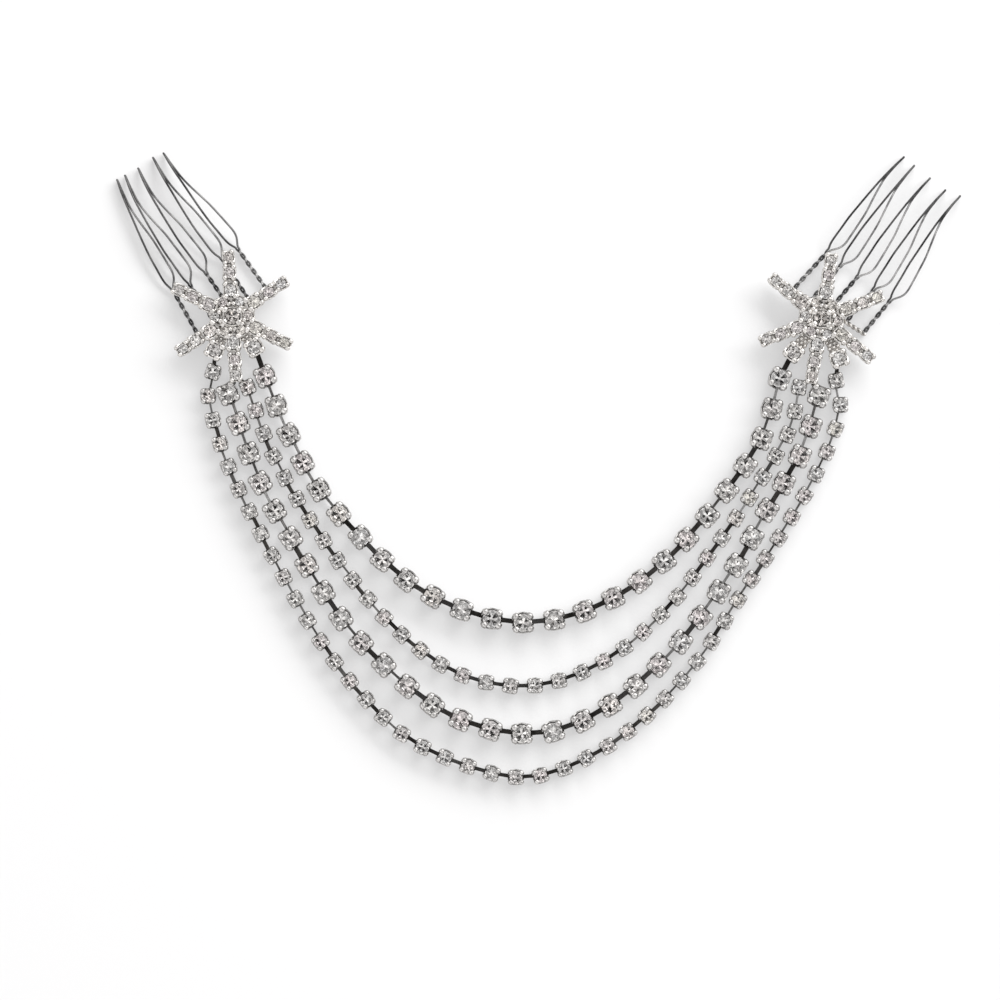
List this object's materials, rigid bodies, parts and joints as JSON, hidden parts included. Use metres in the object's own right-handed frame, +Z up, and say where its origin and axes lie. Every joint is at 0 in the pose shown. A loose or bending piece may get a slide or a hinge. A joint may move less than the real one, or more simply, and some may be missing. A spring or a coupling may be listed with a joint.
{
  "type": "hair chain",
  "caption": "Strands of rhinestone cup chain in nested curves, hung between two six-armed star ornaments on twisted wire hair combs, lying flat.",
  "frame": {"origin": "middle of the outline, on the surface that the chain lies on", "axes": "+X to the wearer's right comb as the picture shows it, +Y from the strands towards the combs, +Z up out of the stones"},
  "size_m": [0.1944, 0.1454, 0.0038],
  "materials": {
    "cup_chain": "bright silver plate with clear faceted stones",
    "link_dark": "blackened metal links",
    "star_metal": "bright silver plate",
    "crystal": "clear cut crystal with a silvered back",
    "comb_wire": "shiny silver wire"
  },
  "bodies": {
    "root": {"strand_1": "cup_chain", "strand_2": "cup_chain", "strand_3": "cup_chain", "strand_4": "cup_chain", "star_setting_left": "star_metal", "centre_stone_left": "crystal", "ring_stones_left": "crystal", "arm_stones_left": "crystal", "hanger_stones_left": "crystal", "comb_left": "comb_wire", "star_setting_right": "star_metal", "centre_stone_right": "crystal", "ring_stones_right": "crystal", "arm_stones_right": "crystal", "hanger_stones_right": "crystal", "comb_right": "comb_wire"}
  },
  "joints": []
}
